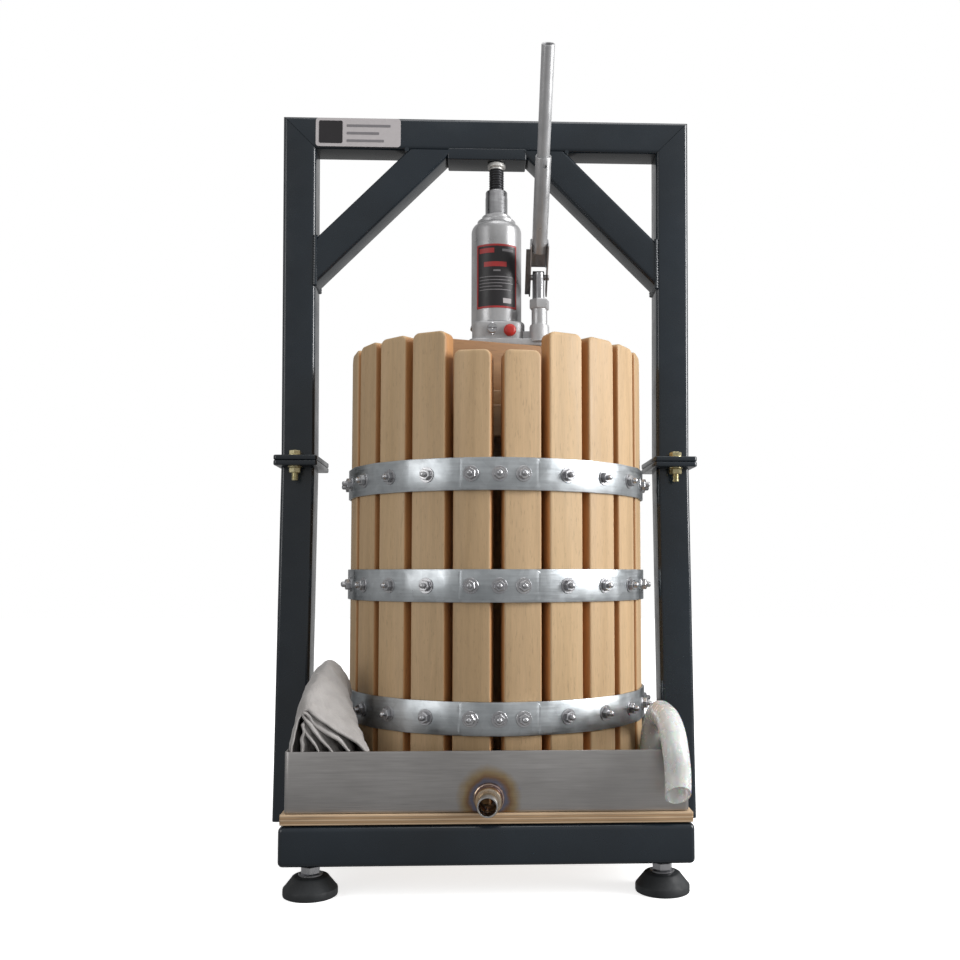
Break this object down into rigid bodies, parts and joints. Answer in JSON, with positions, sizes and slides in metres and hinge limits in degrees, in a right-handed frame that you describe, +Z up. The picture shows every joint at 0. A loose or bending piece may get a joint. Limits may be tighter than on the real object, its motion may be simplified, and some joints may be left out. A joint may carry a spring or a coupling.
{
  "type": "basket wine press",
  "caption": "Basket wine press: slatted wooden basket with steel hoops in a drip tray, square-tube frame, and a bottle jack pressing wooden blocks down.",
  "frame": {"origin": "on the floor under the middle of the press", "axes": "+Z up; -Y towards the front, where the spout is; +X to the right seen from the front"},
  "size_m": [0.506, 0.4518, 0.897],
  "materials": {
    "frame_paint": "glossy anthracite enamel",
    "stave_wood": "planed beech, raw",
    "plywood": "raw birch plywood",
    "beech": "raw, planed",
    "galvanised": "galvanised",
    "stainless": "brushed",
    "zinc": "yellow zinc plate",
    "rubber": "matt",
    "jack_paint": "silver enamel",
    "steel": "ground",
    "black_steel": "blackened",
    "red_rubber": "matt",
    "hose_plastic": "milky clear",
    "filter_cloth": "woven"
  },
  "bodies": {
    "frame": {"stave_01": "stave_wood", "stave_02": "stave_wood", "stave_03": "stave_wood", "stave_04": "stave_wood", "stave_05": "stave_wood", "stave_06": "stave_wood", "stave_07": "stave_wood", "stave_08": "stave_wood", "stave_09": "stave_wood", "stave_10": "stave_wood", "stave_11": "stave_wood", "stave_12": "stave_wood", "stave_13": "stave_wood", "stave_14": "stave_wood", "stave_15": "stave_wood", "stave_16": "stave_wood", "stave_17": "stave_wood", "stave_18": "stave_wood", "stave_19": "stave_wood", "stave_20": "stave_wood", "stave_21": "stave_wood", "stave_22": "stave_wood", "hoop_bottom": "galvanised", "hoop_middle": "galvanised", "hoop_top": "galvanised", "base_frame": "frame_paint", "crossbeam": "frame_paint", "post_upper_left": "frame_paint", "post_upper_right": "frame_paint", "post_lower_left": "frame_paint", "post_lower_right": "frame_paint", "brace_left": "frame_paint", "brace_right": "frame_paint", "flange_bolt_front_left": "zinc", "flange_bolt_front_right": "zinc", "flange_bolt_rear_left": "zinc", "flange_bolt_rear_right": "zinc", "base_board": "plywood", "drip_tray": "stainless", "spout": "stainless", "drain_hose": "hose_plastic", "press_bag": "filter_cloth"},
    "press": {"press_disc": "beech", "press_board": "beech", "press_block": "beech", "jack_base": "jack_paint", "jack_tank": "jack_paint", "jack_link": "black_steel"},
    "ram": {"jack_ram": "steel"},
    "screw": {"jack_screw": "black_steel"},
    "piston": {"pump_piston": "steel"},
    "socket": {"handle_socket": "jack_paint"},
    "lower_handle": {"handle_lower": "jack_paint"},
    "upper_handle": {"handle_upper": "jack_paint"},
    "valve": {"release_valve": "steel"},
    "plug": {"filler_plug": "red_rubber"},
    "foot_front_left": {"foot_front_left": "rubber"},
    "foot_front_right": {"foot_front_right": "rubber"},
    "foot_rear_left": {"foot_rear_left": "rubber"},
    "foot_rear_right": {"foot_rear_right": "rubber"}
  },
  "joints": [
    {"name": "press_slide", "type": "slide", "parent": "frame", "child": "press", "axis": [0, 0, -1], "range_m": [-0.028, 0.088]},
    {"name": "ram_slide", "type": "slide", "parent": "press", "child": "ram", "axis": [0, 0, 1], "range_m": [-0.028, 0.088]},
    {"name": "screw_extend", "type": "slide", "parent": "ram", "child": "screw", "axis": [0, 0, 1], "range_m": [-0.022, 0]},
    {"name": "handle_pump", "type": "hinge", "parent": "press", "child": "socket", "pos_m": [0.0635, -0.006, 0.6915], "axis": [1, 0, 0], "range_deg": [-20, 40]},
    {"name": "piston_slide", "type": "slide", "parent": "press", "child": "piston", "axis": [0, 0, 1], "range_m": [-0.0128, 0.0065]},
    {"name": "lower_handle_pull", "type": "slide", "parent": "socket", "child": "lower_handle", "axis": [0, -0.6691, 0.7431], "range_m": [0, 0.024]},
    {"name": "upper_handle_pull", "type": "slide", "parent": "lower_handle", "child": "upper_handle", "axis": [0, -0.6691, 0.7431], "range_m": [0, 0.045]},
    {"name": "valve_turn", "type": "hinge", "parent": "press", "child": "valve", "pos_m": [0.006, -0.032, 0.621], "axis": [0, -1, 0], "range_deg": [0, 360]},
    {"name": "plug_pull", "type": "slide", "parent": "press", "child": "plug", "axis": [0, -1, 0], "range_m": [0, 0.014]},
    {"name": "foot_front_left_level", "type": "slide", "parent": "frame", "child": "foot_front_left", "axis": [0, 0, -1], "range_m": [0, 0.012]},
    {"name": "foot_front_right_level", "type": "slide", "parent": "frame", "child": "foot_front_right", "axis": [0, 0, -1], "range_m": [0, 0.012]},
    {"name": "foot_rear_left_level", "type": "slide", "parent": "frame", "child": "foot_rear_left", "axis": [0, 0, -1], "range_m": [0, 0.012]},
    {"name": "foot_rear_right_level", "type": "slide", "parent": "frame", "child": "foot_rear_right", "axis": [0, 0, -1], "range_m": [0, 0.012]}
  ],
  "couplings": [
    {"joint": "ram_slide", "follows": "press_slide", "ratio": 1},
    {"joint": "piston_slide", "follows": "handle_pump", "m_per_rad": -0.018}
  ]
}
